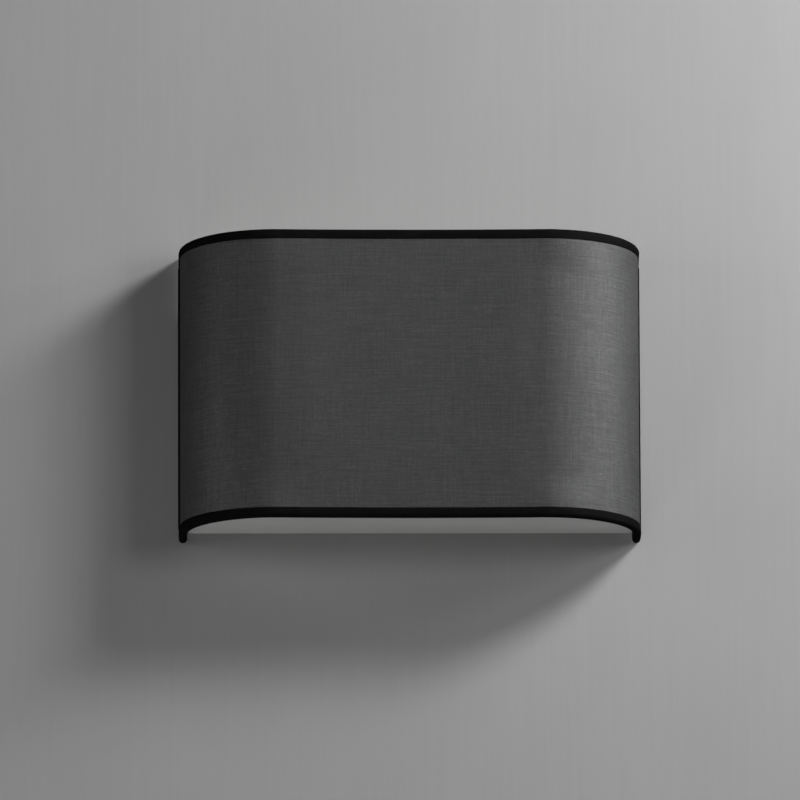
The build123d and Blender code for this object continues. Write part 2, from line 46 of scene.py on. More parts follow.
# --------------------------------------------------------------------------
# sizes, in metres, the same as the construction's
# --------------------------------------------------------------------------
MM = 0.001
HALF_W = 0.150
HALF_H = 0.0955
DEPTH = 0.082
CORNER_R = 0.0625
BOW = 0.0018
TAPE = 0.0003
BAND = 0.0070
BEAD_R = 0.00275
FABRIC_T0, FABRIC_T1 = 0.0003, 0.0007
LINER_T1 = 0.0012
WIRE_INSET = 0.0032
RIM_Z = HALF_H - BEAD_R
REAR_Y = -0.00375
BEND = 0.005
RING_END_Y = REAR_Y - BEND
CX = HALF_W - CORNER_R
CY = -(DEPTH - CORNER_R)
TURN = 2 * math.atan(BOW / CX)
SPAN = CX / math.sin(TURN)
FRONT_CY = CY - SPAN * math.cos(TURN)


# --------------------------------------------------------------------------
# plan line of the shade: points and outward normals by developed length
# --------------------------------------------------------------------------
def plan_line(y_end, step_flat=0.0016, step_arc=0.0011):
    """Samples of the outermost plan line, rear left to rear right:
    (x, y) at inset 0, unit outward normal, developed length."""
    sweep = math.pi / 2 + TURN
    pieces = []
    n = max(2, int(abs(y_end - CY) / step_flat))
    for i in range(n):
        t = i / n
        pieces.append((-HALF_W, y_end + (CY - y_end) * t, -1.0, 0.0))
    n = int(CORNER_R * sweep / step_arc)
    for i in range(n):
        a = math.pi + sweep * i / n
        pieces.append((-CX + CORNER_R * math.cos(a), CY + CORNER_R * math.sin(a),
                       math.cos(a), math.sin(a)))
    rf = SPAN - CORNER_R
    n = int(2 * CX / step_flat)
    for i in range(n):
        b = TURN * (1 - 2 * i / n)
        # centre of the long front arc is in front of the shade
        pieces.append((-rf * math.sin(b), FRONT_CY + rf * math.cos(b),
                       math.sin(b), -math.cos(b)))
    n = int(CORNER_R * sweep / step_arc)
    for i in range(n):
        a = -math.pi / 2 - TURN + sweep * i / n
        pieces.append((CX + CORNER_R * math.cos(a), CY + CORNER_R * math.sin(a),
                       math.cos(a), math.sin(a)))
    n = max(2, int(abs(y_end - CY) / step_flat))
    for i in range(n + 1):
        t = i / n
        pieces.append((HALF_W, CY + (y_end - CY) * t, 1.0, 0.0))
    p = np.array(pieces)
    d = np.hypot(np.diff(p[:, 0]), np.diff(p[:, 1]))
    return p, np.concatenate([[0.0], np.cumsum(d)])


def wobble(seed, x, y, z=0.0):
    return noise.noise(Vector((x + 31.7 * seed, y - 17.3 * seed, z + 5.1 * seed)))


def new_object(name, verts, faces, uvs=None, smooth=True):
    me = bpy.data.meshes.new(name)
    me.from_pydata([tuple(v) for v in verts], [], faces)
    if uvs is not None:
        layer = me.uv_layers.new(name="UVMap")
        loops = np.empty(len(me.loops), dtype=np.int32)
        me.loops.foreach_get("vertex_index", loops)
        flat = np.asarray(uvs, dtype=np.float32)[loops].ravel()
        layer.data.foreach_set("uv", flat)
    me.polygons.foreach_set("use_smooth", [smooth] * len(me.polygons))
    me.update()
    ob = bpy.data.objects.new(name, me)
    scene.collection.objects.link(ob)
    return ob


def consistent(ob):
    bm = bmesh.new()
    bm.from_mesh(ob.data)
    bmesh.ops.recalc_face_normals(bm, faces=bm.faces)
    bm.to_mesh(ob.data)
    bm.free()


def sweep_section(name, frames, section, closed_section=True, uv_v=None, uv_u=None):
    """Skins a closed section along frames.  frames: list of (origin, inward
    unit vector, up unit vector); section(i) gives [(u, v)] for frame i."""
    verts, uvs, faces = [], [], []
    count = None
    for i, (o, inward, up) in enumerate(frames):
        sec = section(i)
        count = len(sec)
        acc = 0.0
        for k, (u, v) in enumerate(sec):
            verts.append(o + inward * u + up * v)
            if k:
                acc += math.hypot(u - sec[k - 1][0], v - sec[k - 1][1])
            uvs.append((uv_u[i], acc))
    rows = len(frames)
    for i in range(rows - 1):
        for k in range(count):
            a = i * count + k
            b = i * count + (k + 1) % count
            faces.append((a, b, b + count, a + count))
    faces.append(tuple(range(count - 1, -1, -1)))
    faces.append(tuple(range((rows - 1) * count, rows * count)))
    ob = new_object(name, verts, faces, uvs)
    consistent(ob)
    return ob


# --------------------------------------------------------------------------
# materials
# --------------------------------------------------------------------------
class Mat:
    """Small helper round a node tree; every value is set on the node itself."""

    def __init__(self, name, base, rough, spec=0.5, metal=0.0, **extra):
        self.m = bpy.data.materials.new(name)
        self.m.use_nodes = True
        self.t = self.m.node_tree
        self.b = self.t.nodes["Principled BSDF"]
        self.b.inputs["Base Color"].default_value = (*base, 1)
        self.b.inputs["Roughness"].default_value = rough
        self.b.inputs["Specular IOR Level"].default_value = spec
        self.b.inputs["Metallic"].default_value = metal
        for k, v in extra.items():
            self.b.inputs[k.replace("_", " ")].default_value = v
        self.coord = self.t.nodes.new("ShaderNodeTexCoord")

    def n(self, kind, **props):
        node = self.t.nodes.new(kind)
        for k, v in props.items():
            if k in ("inputs",):
                for key, val in v.items():
                    if isinstance(val, bpy.types.NodeSocket):
                        self.t.links.new(val, node.inputs[key])
                    else:
                        node.inputs[key].default_value = val
            else:
                setattr(node, k, v)
        return node

    def math(self, op, a, b=None, c=None, clamp=False):
        node = self.n("ShaderNodeMath", operation=op, use_clamp=clamp)
        for i, v in enumerate((a, b, c)):
            if v is None:
                continue
            if isinstance(v, bpy.types.NodeSocket):
                self.t.links.new(v, node.inputs[i])
            else:
                node.inputs[i].default_value = v
        return node.outputs[0]

    def scaled(self, source, sx, sy, sz=1.0):
        node = self.n("ShaderNodeVectorMath", operation="MULTIPLY")
        self.t.links.new(source, node.inputs[0])
        node.inputs[1].default_value = (sx, sy, sz)
        return node.outputs[0]

    def noise(self, vec, scale, detail=2.0, rough=0.5, distortion=0.0):
        node = self.n("ShaderNodeTexNoise")
        self.t.links.new(vec, node.inputs["Vector"])
        node.inputs["Scale"].default_value = scale
        node.inputs["Detail"].default_value = detail
        node.inputs["Roughness"].default_value = rough
        node.inputs["Distortion"].default_value = distortion
        return node.outputs["Fac"]

    def ramp(self, fac, stops):
        node = self.n("ShaderNodeValToRGB")
        self.t.links.new(fac, node.inputs["Fac"])
        els = node.color_ramp.elements
        while len(els) < len(stops):
            els.new(0.5)
        for e, (pos, col) in zip(els, stops):
            e.position = pos
            e.color = (*col, 1) if len(col) == 3 else col
        return node.outputs["Color"]

    def mix(self, fac, a, b, mode="MIX"):
        node = self.n("ShaderNodeMix", data_type="RGBA", blend_type=mode)
        for key, v in ((0, fac), (6, a), (7, b)):
            if isinstance(v, bpy.types.NodeSocket):
                self.t.links.new(v, node.inputs[key])
            elif key == 0:
                node.inputs[0].default_value = v
            else:
                node.inputs[key].default_value = (*v, 1)
        return node.outputs[2]

    def map(self, fac, lo, hi, a, b):
        node = self.n("ShaderNodeMapRange")
        self.t.links.new(fac, node.inputs["Value"])
        for k, v in (("From Min", lo), ("From Max", hi), ("To Min", a), ("To Max", b)):
            node.inputs[k].default_value = v
        return node.outputs["Result"]

    def color(self, socket):
        self.t.links.new(socket, self.b.inputs["Base Color"])

    def rough(self, socket):
        self.t.links.new(socket, self.b.inputs["Roughness"])

    def bump(self, height, distance, strength=1.0):
        node = self.n("ShaderNodeBump")
        self.t.links.new(height, node.inputs["Height"])
        node.inputs["Distance"].default_value = distance
        node.inputs["Strength"].default_value = strength
        if self.b.inputs["Normal"].is_linked:
            self.t.links.new(self.b.inputs["Normal"].links[0].from_socket,
                             node.inputs["Normal"])
        self.t.links.new(node.outputs["Normal"], self.b.inputs["Normal"])


def weave_material():
    """Fine plain weave, dark grey: warp 0.60 mm, weft 0.52 mm, with uneven
    threads, slubs and a satin gloss.  UV is in metres on the flat cut."""
    m = Mat("shade_weave", (0.055, 0.0555, 0.057), 0.48, spec=0.6, Anisotropic=0.6)
    uv = m.coord.outputs["UV"]
    # threads wander a little
    drift = m.noise(m.scaled(uv, 1, 1), 55.0, 2.0)
    sep = m.n("ShaderNodeSeparateXYZ")
    m.t.links.new(uv, sep.inputs[0])
    u = m.math("ADD", sep.outputs[0], m.math("MULTIPLY", m.math("SUBTRACT", drift, 0.5), 0.0011))
    drift2 = m.noise(m.scaled(uv, 1, 1), 47.0, 2.0)
    v = m.math("ADD", sep.outputs[1], m.math("MULTIPLY", m.math("SUBTRACT", drift2, 0.5), 0.0010))
    au = m.math("SINE", m.math("MULTIPLY", u, math.pi / 0.00060))
    av = m.math("SINE", m.math("MULTIPLY", v, math.pi / 0.00052))
    cross = m.math("MULTIPLY", au, av)                     # sign: warp or weft on top
    pillow = m.math("MULTIPLY",
                    m.math("POWER", m.math("ABSOLUTE", au), 0.6),
                    m.math("POWER", m.math("ABSOLUTE", av), 0.6))
    # uneven threads: long thin streaks both ways
    weft = m.noise(m.scaled(uv, 26.0, 900.0), 1.0, 3.0, 0.6)
    weft2 = m.noise(m.scaled(uv, 90.0, 640.0), 1.0, 2.0, 0.5)
    warp = m.noise(m.scaled(uv, 860.0, 24.0), 1.0, 3.0, 0.6)
    warp2 = m.noise(m.scaled(uv, 620.0, 80.0), 1.0, 2.0, 0.5)
    streak = m.math("ADD",
                    m.math("ADD", m.math("MULTIPLY", weft, 0.56), m.math("MULTIPLY", weft2, 0.32)),
                    m.math("ADD", m.math("MULTIPLY", warp, 0.38), m.math("MULTIPLY", warp2, 0.26)))
    tone = m.map(streak, 0.57, 0.95, 0.0, 1.0)
    # single threads: short light and dark runs along weft and warp
    run_weft = m.noise(m.scaled(uv, 360.0, 1200.0), 1.0, 1.0, 0.5)
    run_warp = m.noise(m.scaled(uv, 1150.0, 400.0), 1.0, 1.0, 0.5)
    run = m.math("ADD", m.math("MULTIPLY", run_weft, 0.62), m.math("MULTIPLY", run_warp, 0.38))
    base = m.ramp(tone, [(0.0, (0.031, 0.0314, 0.0323)), (0.5, (0.054, 0.0546, 0.0560)),
                         (1.0, (0.085, 0.086, 0.088))])
    # warp floats a shade darker than weft floats; painted shade in the hollows between the thread crossings
    over = m.map(cross, -0.25, 0.25, 0.0, 1.0)
    base = m.mix(over, base, m.mix(1.0, base, (0.80, 0.80, 0.81), "MULTIPLY"))
    run_rgb = m.n("ShaderNodeCombineColor")
    for i in range(3):
        m.t.links.new(m.map(run, 0.36, 0.64, 0.79, 1.21), run_rgb.inputs[i])
    base = m.mix(1.0, base, run_rgb.outputs[0], "MULTIPLY")
    # painted shade: the colour drops to 0.55 of itself where the threads dip between crossings
    hollow_shade = m.map(pillow, 0.0, 0.42, 0.55, 1.0)
    hollow_shade_rgb = m.n("ShaderNodeCombineColor")
    for i in range(3):
        m.t.links.new(hollow_shade, hollow_shade_rgb.inputs[i])
    base = m.mix(1.0, base, hollow_shade_rgb.outputs[0], "MULTIPLY")
    # slubs: sparse thick places in single weft and warp threads
    slub = m.noise(m.scaled(uv, 70.0, 780.0), 1.0, 0.0)
    slub = m.map(slub, 0.735, 0.80, 0.0, 1.0)
    slub2 = m.noise(m.scaled(uv, 820.0, 75.0), 1.0, 0.0)
    slub2 = m.map(slub2, 0.75, 0.81, 0.0, 1.0)
    dark = m.noise(m.scaled(uv, 75.0, 820.0, 1.0), 1.03, 0.0)
    dark = m.map(dark, 0.27, 0.215, 0.0, 1.0)
    base = m.mix(m.math("MULTIPLY", slub, 0.20), base, (0.085, 0.086, 0.088))
    base = m.mix(m.math("MULTIPLY", slub2, 0.15), base, (0.080, 0.081, 0.083))
    base = m.mix(m.math("MULTIPLY", dark, 0.45), base, (0.024, 0.024, 0.025))
    # very soft clouding over the whole cut
    cloud = m.noise(uv, 16.0, 3.0, 0.55)
    cl = m.map(cloud, 0.3, 0.7, 0.90, 1.08)
    cc = m.n("ShaderNodeCombineColor")
    for i in range(3):
        m.t.links.new(cl, cc.inputs[i])
    base = m.mix(1.0, base, cc.outputs[0], "MULTIPLY")
    m.color(base)
    gloss = m.math("ADD", streak, m.math("MULTIPLY", m.math("SUBTRACT", run, 0.5), 1.6))
    m.rough(m.map(gloss, 0.45, 1.05, 0.54, 0.42))
    height = m.math("ADD", m.math("MULTIPLY", pillow, 1.0),
                    m.math("ADD", m.math("ADD", m.math("MULTIPLY", streak, 0.6),
                                         m.math("MULTIPLY", run, 1.2)),
                           m.math("ADD", m.math("MULTIPLY", slub, 0.5),
                                  m.math("MULTIPLY", slub2, 0.4))))
    m.bump(height, 0.00005, 0.6)
    return m.m


def tape_material():
    """Matt black binding tape: fine cross ribs, fuzz and faint dust."""
    m = Mat("binding_tape", (0.0030, 0.0030, 0.0031), 0.78, spec=0.07)
    uv = m.coord.outputs["UV"]
    sep = m.n("ShaderNodeSeparateXYZ")
    m.t.links.new(uv, sep.inputs[0])
    rib = m.math("SINE", m.math("MULTIPLY", sep.outputs[0], 2 * math.pi / 0.00062))
    thread = m.math("SINE", m.math("MULTIPLY", sep.outputs[1], 2 * math.pi / 0.00040))
    fuzz = m.noise(uv, 2600.0, 3.0, 0.6)
    patch = m.noise(m.scaled(uv, 60.0, 240.0), 1.0, 3.0, 0.6)
    base = m.ramp(m.math("ADD", m.math("MULTIPLY", fuzz, 0.5), m.math("MULTIPLY", patch, 0.5)),
                  [(0.32, (0.0013, 0.0013, 0.0014)), (0.50, (0.0028, 0.0028, 0.0029)),
                   (0.70, (0.0074, 0.0074, 0.0077))])
    m.color(base)
    m.rough(m.map(fuzz, 0.3, 0.7, 0.66, 0.82))
    h = m.math("ADD", m.math("MULTIPLY", rib, 0.5),
               m.math("ADD", m.math("MULTIPLY", thread, 0.22), m.math("MULTIPLY", fuzz, 0.9)))
    m.bump(h, 0.00005, 0.9)
    return m.m


def object_coord(m):
    return m.coord.outputs["Object"]


def plastic(name, base, rough, spec=0.5, grain=1400.0, depth=0.00002, vary=0.05, dust=0.0, **extra):
    """Moulded plastic: fine spark texture, slight tone and gloss variation."""
    m = Mat(name, base, rough, spec, **extra)
    co = object_coord(m)
    fine = m.noise(co, grain, 3.0, 0.55)
    broad = m.noise(co, 45.0, 3.0, 0.6)
    lo = tuple(c * (1 - vary) for c in base)
    hi = tuple(min(1.0, c * (1 + vary)) for c in base)
    col = m.ramp(broad, [(0.3, lo), (0.7, hi)])
    if dust:
        d = m.noise(co, 170.0, 4.0, 0.65)
        col = m.mix(m.map(d, 0.55, 0.75, 0.0, dust), col, tuple(c * 0.55 for c in base))
    m.color(col)
    m.rough(m.map(broad, 0.3, 0.7, rough - 0.05, rough + 0.05))
    m.bump(fine, depth, 0.6)
    return m.m


def powder(name, base, rough=0.45):
    """Powder coat: orange-peel bump, tiny specks, worn tone at random spots."""
    m = Mat(name, base, rough, 0.5)
    co = object_coord(m)
    peel = m.noise(co, 520.0, 2.0, 0.5)
    fine = m.noise(co, 2400.0, 2.0, 0.5)
    broad = m.noise(co, 30.0, 4.0, 0.6)
    speck = m.n("ShaderNodeTexVoronoi", feature="F1")
    m.t.links.new(co, speck.inputs["Vector"])
    speck.inputs["Scale"].default_value = 330.0
    sp = m.map(speck.outputs["Distance"], 0.05, 0.13, 0.55, 1.0)
    base_col = m.ramp(broad, [(0.3, tuple(c * 0.94 for c in base)),
                              (0.7, tuple(min(1, c * 1.03) for c in base))])
    cc = m.n("ShaderNodeCombineColor")
    for i in range(3):
        m.t.links.new(m.map(sp, 0.55, 1.0, 0.86, 1.0), cc.inputs[i])
    m.color(m.mix(1.0, base_col, cc.outputs[0], "MULTIPLY"))
    m.rough(m.map(broad, 0.3, 0.7, rough - 0.06, rough + 0.08))
    m.bump(m.math("ADD", peel, m.math("MULTIPLY", fine, 0.35)), 0.00005, 0.6)
    return m.m


def metal(name, base, rough, brushed=(60.0, 60.0, 2400.0), vary=0.12, tarnish=0.0, tcol=(0.2, 0.15, 0.08)):
    """Plated or bare metal with tool marks and uneven gloss."""
    m = Mat(name, base, rough, 0.5, metal=1.0)
    co = object_coord(m)
    marks = m.noise(m.scaled(co, *brushed), 1.0, 3.0, 0.6)
    broad = m.noise(co, 140.0, 4.0, 0.6)
    col = m.ramp(m.math("ADD", m.math("MULTIPLY", marks, 0.5), m.math("MULTIPLY", broad, 0.5)),
                 [(0.3, tuple(c * (1 - vary) for c in base)), (0.7, tuple(min(1, c * (1 + vary * 0.5)) for c in base))])
    if tarnish:
        t = m.noise(co, 420.0, 4.0, 0.7)
        col = m.mix(m.map(t, 0.5, 0.75, 0.0, tarnish), col, tcol)
    m.color(col)
    m.rough(m.map(marks, 0.3, 0.7, rough - 0.07, rough + 0.12))
    m.bump(marks, 0.00002, 0.5)
    return m.m


def opal_material():
    """Satin opal acrylic: cloudy body, a little light carried through it."""
    m = Mat("opal_acrylic", (0.62, 0.62, 0.615), 0.42, 0.45)
    co = object_coord(m)
    cloud = m.noise(co, 22.0, 3.0, 0.6)
    fine = m.noise(co, 900.0, 3.0, 0.6)
    m.color(m.ramp(cloud, [(0.3, (0.60, 0.60, 0.595)), (0.7, (0.645, 0.645, 0.64))]))
    m.rough(m.map(fine, 0.3, 0.7, 0.36, 0.48))
    m.bump(fine, 0.00001, 0.5)
    m.b.inputs["Subsurface Weight"].default_value = 0.35
    m.b.inputs["Subsurface Radius"].default_value = (0.004, 0.004, 0.004)
    m.b.inputs["Subsurface Scale"].default_value = 1.0
    m.b.inputs["Transmission Weight"].default_value = 0.0
    return m.m


def liner_material():
    """Off-white laminated film, faint weave ghosting through."""
    m = Mat("liner_white", (0.66, 0.65, 0.62), 0.55, 0.4)
    uv = m.coord.outputs["UV"]
    a = m.noise(m.scaled(uv, 30.0, 1300.0), 1.0, 3.0, 0.6)
    b = m.noise(m.scaled(uv, 1200.0, 28.0), 1.0, 3.0, 0.6)
    s = m.math("ADD", m.math("MULTIPLY", a, 0.5), m.math("MULTIPLY", b, 0.5))
    cloud = m.noise(uv, 9.0, 4.0, 0.6)
    mixv = m.math("ADD", m.math("MULTIPLY", s, 0.55), m.math("MULTIPLY", cloud, 0.45))
    m.color(m.ramp(mixv, [(0.35, (0.60, 0.59, 0.56)), (0.65, (0.70, 0.69, 0.665))]))
    m.rough(m.map(s, 0.35, 0.65, 0.46, 0.60))
    m.bump(s, 0.00004, 0.6)
    return m.m


def lead_material(name, base, stripe=None):
    m = Mat(name, base, 0.42, 0.5)
    co = object_coord(m)
    n1 = m.noise(co, 220.0, 3.0, 0.6)
    col = m.ramp(n1, [(0.3, tuple(c * 0.85 for c in base)), (0.7, tuple(min(1, c * 1.12) for c in base))])
    if stripe:
        sep = m.n("ShaderNodeSeparateXYZ")
        m.t.links.new(co, sep.inputs[0])
        s = m.math("SINE", m.math("MULTIPLY",
                                  m.math("ADD", sep.outputs[0], m.math("MULTIPLY", sep.outputs[1], 0.8)), 2100.0))
        col = m.mix(m.map(s, -0.1, 0.1, 0.0, 1.0), col, stripe)
    m.color(col)
    m.rough(m.map(n1, 0.3, 0.7, 0.36, 0.5))
    m.bump(m.noise(co, 1500.0, 2.0), 0.00002, 0.4)
    return m.m


M = {
    "shade_weave": weave_material(),
    "binding_tape": tape_material(),
    "liner_white": liner_material(),
    "frame_wire": powder("frame_wire", (0.045, 0.045, 0.047), 0.42),
    "plate_paint": powder("plate_paint", (0.72, 0.72, 0.71), 0.42),
    "zinc_steel": metal("zinc_steel", (0.56, 0.57, 0.58), 0.34, (500.0, 500.0, 500.0)),
    "brass": metal("brass", (0.68, 0.50, 0.24), 0.32, (300.0, 300.0, 1800.0), tarnish=0.35),
    "opal_acrylic": opal_material(),
    "grommet_rubber": plastic("grommet_rubber", (0.018, 0.018, 0.019), 0.62, 0.35, 1800.0, 0.00003, 0.2),
    "clamp_nylon": plastic("clamp_nylon", (0.66, 0.65, 0.60), 0.45, 0.5, 1200.0, 0.00002, 0.04,
                           Subsurface_Weight=0.2, Subsurface_Radius=(0.002, 0.002, 0.002),
                           Subsurface_Scale=1.0),
    "terminal_body": plastic("terminal_body", (0.74, 0.73, 0.68), 0.38, 0.5, 1500.0, 0.00002, 0.05, dust=0.15),
    "holder_thermoplastic": plastic("holder_thermoplastic", (0.70, 0.70, 0.68), 0.36, 0.5, 1700.0, 0.00002, 0.04, dust=0.1),
    "holder_ceramic": plastic("holder_ceramic", (0.70, 0.68, 0.62), 0.2, 0.5, 500.0, 0.00003, 0.06, dust=0.2),
    "shell_metal": metal("shell_metal", (0.62, 0.55, 0.38), 0.3, (60.0, 60.0, 2600.0), tarnish=0.25),
    "lead_brown": lead_material("lead_brown", (0.13, 0.055, 0.022)),
    "lead_blue": lead_material("lead_blue", (0.03, 0.10, 0.34)),
    "lead_earth": lead_material("lead_earth", (0.13, 0.32, 0.05), stripe=(0.62, 0.55, 0.05)),
    "lamp_cap_metal": metal("lamp_cap_metal", (0.66, 0.65, 0.62), 0.26, (60.0, 60.0, 2800.0)),
    "cap_glass": plastic("cap_glass", (0.012, 0.012, 0.014), 0.12, 0.55, 300.0, 0.00003, 0.2),
    "contact_solder": metal("contact_solder", (0.55, 0.55, 0.54), 0.38, (700.0, 700.0, 700.0)),
    "lamp_housing": plastic("lamp_housing", (0.74, 0.74, 0.73), 0.34, 0.5, 1600.0, 0.00002, 0.03),
    "led_board": plastic("led_board", (0.68, 0.68, 0.66), 0.35, 0.5, 900.0, 0.00002, 0.04),
    "lamp_opal": plastic("lamp_opal", (0.78, 0.78, 0.76), 0.36, 0.5, 1100.0, 0.00001, 0.02,
                         Subsurface_Weight=0.3, Subsurface_Radius=(0.002, 0.002, 0.0019),
                         Subsurface_Scale=1.0),
}

slot_of = {s["node"]: s["material_slot"] for s in frame["record"]["subparts"]}
for name, ob in nodes.items():
    mat = M[slot_of[name]]
    ob.data.materials.clear()
    ob.data.materials.append(mat)

# --------------------------------------------------------------------------
# camera, first: the photo's view from below, long lens
# --------------------------------------------------------------------------
PITCH, YAW, ROLL = 0.2235, 0.0164, -0.0039
DIST = 10.0
PX_PER_M = 1542.5
fwd = Vector((math.sin(YAW) * math.cos(PITCH), math.cos(YAW) * math.cos(PITCH), math.sin(PITCH)))
right = Vector((math.cos(YAW), -math.sin(YAW), 0.0))
up = right.cross(fwd)
right, up = (right * math.cos(ROLL) + up * math.sin(ROLL),
             up * math.cos(ROLL) - right * math.sin(ROLL))
aim = Vector((0.0, -0.040, 0.0))
AIM_PX = (410.0, 386.5)
centre = aim - right * ((AIM_PX[0] - 400.0) / PX_PER_M) + up * ((AIM_PX[1] - 400.0) / PX_PER_M)
cam_data = bpy.data.cameras.new("camera")
cam_data.sensor_fit = "HORIZONTAL"
cam_data.sensor_width = 36.0
cam_data.lens = 36.0 * DIST * PX_PER_M / 800.0
cam_data.clip_start = 0.1
cam_data.clip_end = 200.0
cam = bpy.data.objects.new("camera", cam_data)
scene.collection.objects.link(cam)
cam.location = centre - fwd * DIST
basis = np.array([[right.x, up.x, -fwd.x], [right.y, up.y, -fwd.y], [right.z, up.z, -fwd.z]])
from mathutils import Matrix
cam.rotation_euler = Matrix(basis.tolist()).to_euler()
scene.camera = cam

# --------------------------------------------------------------------------
# shade fabric: one sheet, wrapped round the plan line, finely meshed
# --------------------------------------------------------------------------
plan, length = plan_line(REAR_Y)
total = float(length[-1])


def rear_trim_z(s, half):
    """Half height of the cut at developed length s: rounded rear corners."""
    e = min(s, total - s)
    if e >= BEND:
        return half
    k = BEND - e
    return half - BEND + math.sqrt(max(0.0, BEND * BEND - k * k))


def ripple(s, z):
    """How far the laminate stands off its true line, in metres: long shallow
    unevenness, none at the bound edges."""
    edge = min(1.0, (RIM_Z - abs(z)) / 0.03)
    edge *= min(1.0, min(s, total - s) / 0.03)
    if edge <= 0:
        return 0.0
    a = wobble(1, s * 14.0, z * 9.0) * 0.00022
    b = wobble(2, s * 36.0, z * 14.0) * 0.00007
    return (a + b) * edge


def drawn_in(from_rear):
    """The laminate is pulled in against the wires of the rear edges."""
    t = min(1.0, max(0.0, from_rear / 0.070))
    return 0.00080 * (1 - t * t * (3 - 2 * t))


FOLD = (CY - REAR_Y) * -1 + CORNER_R * (math.pi / 2 + TURN)   # where arc and front meet


def waist(from_rear, z):
    """Between the rings the laminate flattens off a little where the tight
    corner starts, up to 1.1 mm."""
    k = (from_rear - FOLD + 0.012) / 0.034
    if abs(k) >= 1:
        return 0.0
    t = min(1.0, max(0.0, (RIM_Z - 0.003 - abs(z)) / 0.026))
    return 0.0011 * math.cos(k * math.pi / 2) ** 2 * t * t * (3 - 2 * t)


def skin(name, t0, t1, rows, with_ripple=True):
    verts, uvs, faces = [], [], []
    n = len(plan)
    m = rows + 1
    for layer, t in ((0, t0), (1, t1)):
        for i in range(n):
            x, y, nx, ny = plan[i]
            half = rear_trim_z(float(length[i]), RIM_Z)
            for j in range(m):
                z = -half + 2 * half * j / rows
                off = ripple(float(length[i]), z) if with_ripple else 0.0
                off = min(off, 0.00022)
                e = min(float(length[i]), total - float(length[i]))
                d = -t + off - drawn_in(e) - waist(e, z)
                verts.append((x + nx * d, y + ny * d, z))
                uvs.append((float(length[i]), z + RIM_Z))
    off1 = n * m
    for i in range(n - 1):
        for j in range(rows):
            a = i * m + j
            faces.append((a, a + m, a + m + 1, a + 1))
            b = off1 + a
            faces.append((b, b + 1, b + m + 1, b + m))
    for i in range(n - 1):
        a, b = i * m, off1 + i * m
        faces.append((a, b, b + m, a + m))
        a, b = i * m + rows, off1 + i * m + rows
        faces.append((a, a + m, b + m, b))
    for j in range(rows):
        a, b = j, off1 + j
        faces.append((a, a + 1, b + 1, b))
        a, b = (n - 1) * m + j, off1 + (n - 1) * m + j
        faces.append((a, b, b + 1, a + 1))
    ob = new_object(name, verts, faces, uvs)
    consistent(ob)
    return ob


fabric = skin("shade_fabric_skin", FABRIC_T0, FABRIC_T1, 110)
fabric.data.materials.append(M["shade_weave"])
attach(fabric, "shade")
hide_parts("shade_fabric")

liner = skin("shade_liner_film", FABRIC_T1 + 0.00002, LINER_T1, 60)
liner.data.materials.append(M["liner_white"])
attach(liner, "shade")
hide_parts("shade_liner")


# --------------------------------------------------------------------------
# binding tape: folded strips with uneven edges
# --------------------------------------------------------------------------
LEG = 0.0065                 # tape that shows on the outside


def tape_profile(i, seed, inner_leg, hug, lean=0.0, proud=0.0, lean_in=0.0):
    """Closed section (u inward from the outer face, v along z) of the folded
    tape at station i: outer leg, round over the wire, inner leg.  lean: how
    far the outer cut edge is drawn in, lean_in: the inner one; proud: extra
    radius of the round."""
    s = i * 0.0013
    w_out = 0.00015 * wobble(seed, s * 60, 0.0) + 0.00007 * wobble(seed + 3, s * 310, 0.0)
    w_in = 0.00022 * wobble(seed + 1, s * 55, 3.0)
    lift = 0.00005 * (1 + wobble(seed + 2, s * 90, 1.0))
    r = BEAD_R + proud + 0.00004 * wobble(seed + 4, s * 120, 2.0)
    z0 = HALF_H - LEG + w_out
    pts_out, pts_in = [], []
    # outer leg from its cut edge up; the leg swells very slightly over the glue
    for k in range(7):
        t = k / 6
        z = z0 + (RIM_Z - z0) * t
        bulge = lift * math.sin(math.pi * t) + (0.00003 if k == 0 else 0.0)
        u = lean * (1 - t) - proud * t
        pts_out.append((u - bulge, z))
        pts_in.append((u + TAPE - 0.00002, z))
    for k in range(1, 16):
        a = math.pi - math.pi * k / 16
        pts_out.append((BEAD_R + r * math.cos(a), RIM_Z + r * math.sin(a)))
        pts_in.append((BEAD_R + (r - TAPE) * math.cos(a), RIM_Z + (r - TAPE) * math.sin(a)))
    if hug:
        # under the wire and back to the liner, then down it
        wr = 0.0023
        for k in range(0, 9):
            a = -math.pi * 0.5 * k / 8 * 1.15
            o = (WIRE_INSET + wr * math.cos(a), RIM_Z + wr * math.sin(a))
            n = (WIRE_INSET + (wr - TAPE) * math.cos(a), RIM_Z + (wr - TAPE) * math.sin(a))
            pts_out.append(o)
            pts_in.append(n)
        end_z = HALF_H - inner_leg + w_in
        u_leg = LINER_T1 + lean_in + TAPE + 0.00004
        start_z = pts_out[-1][1]
        for k in range(1, 6):
            t = k / 5
            z = start_z - 0.0006 - (start_z - 0.0006 - end_z) * t
            pts_out.append((u_leg + 0.00004 * math.sin(t * 3), z))
            pts_in.append((u_leg - TAPE, z))
    else:
        end_z = HALF_H - inner_leg + min(0.0, w_in * 0.15)
        for k in range(0, 6):
            t = k / 5
            z = RIM_Z + (end_z - RIM_Z) * t
            pts_out.append((BEAD_R + r, z))
            pts_in.append((BEAD_R + r - TAPE, z))
    return pts_out + pts_in[::-1]


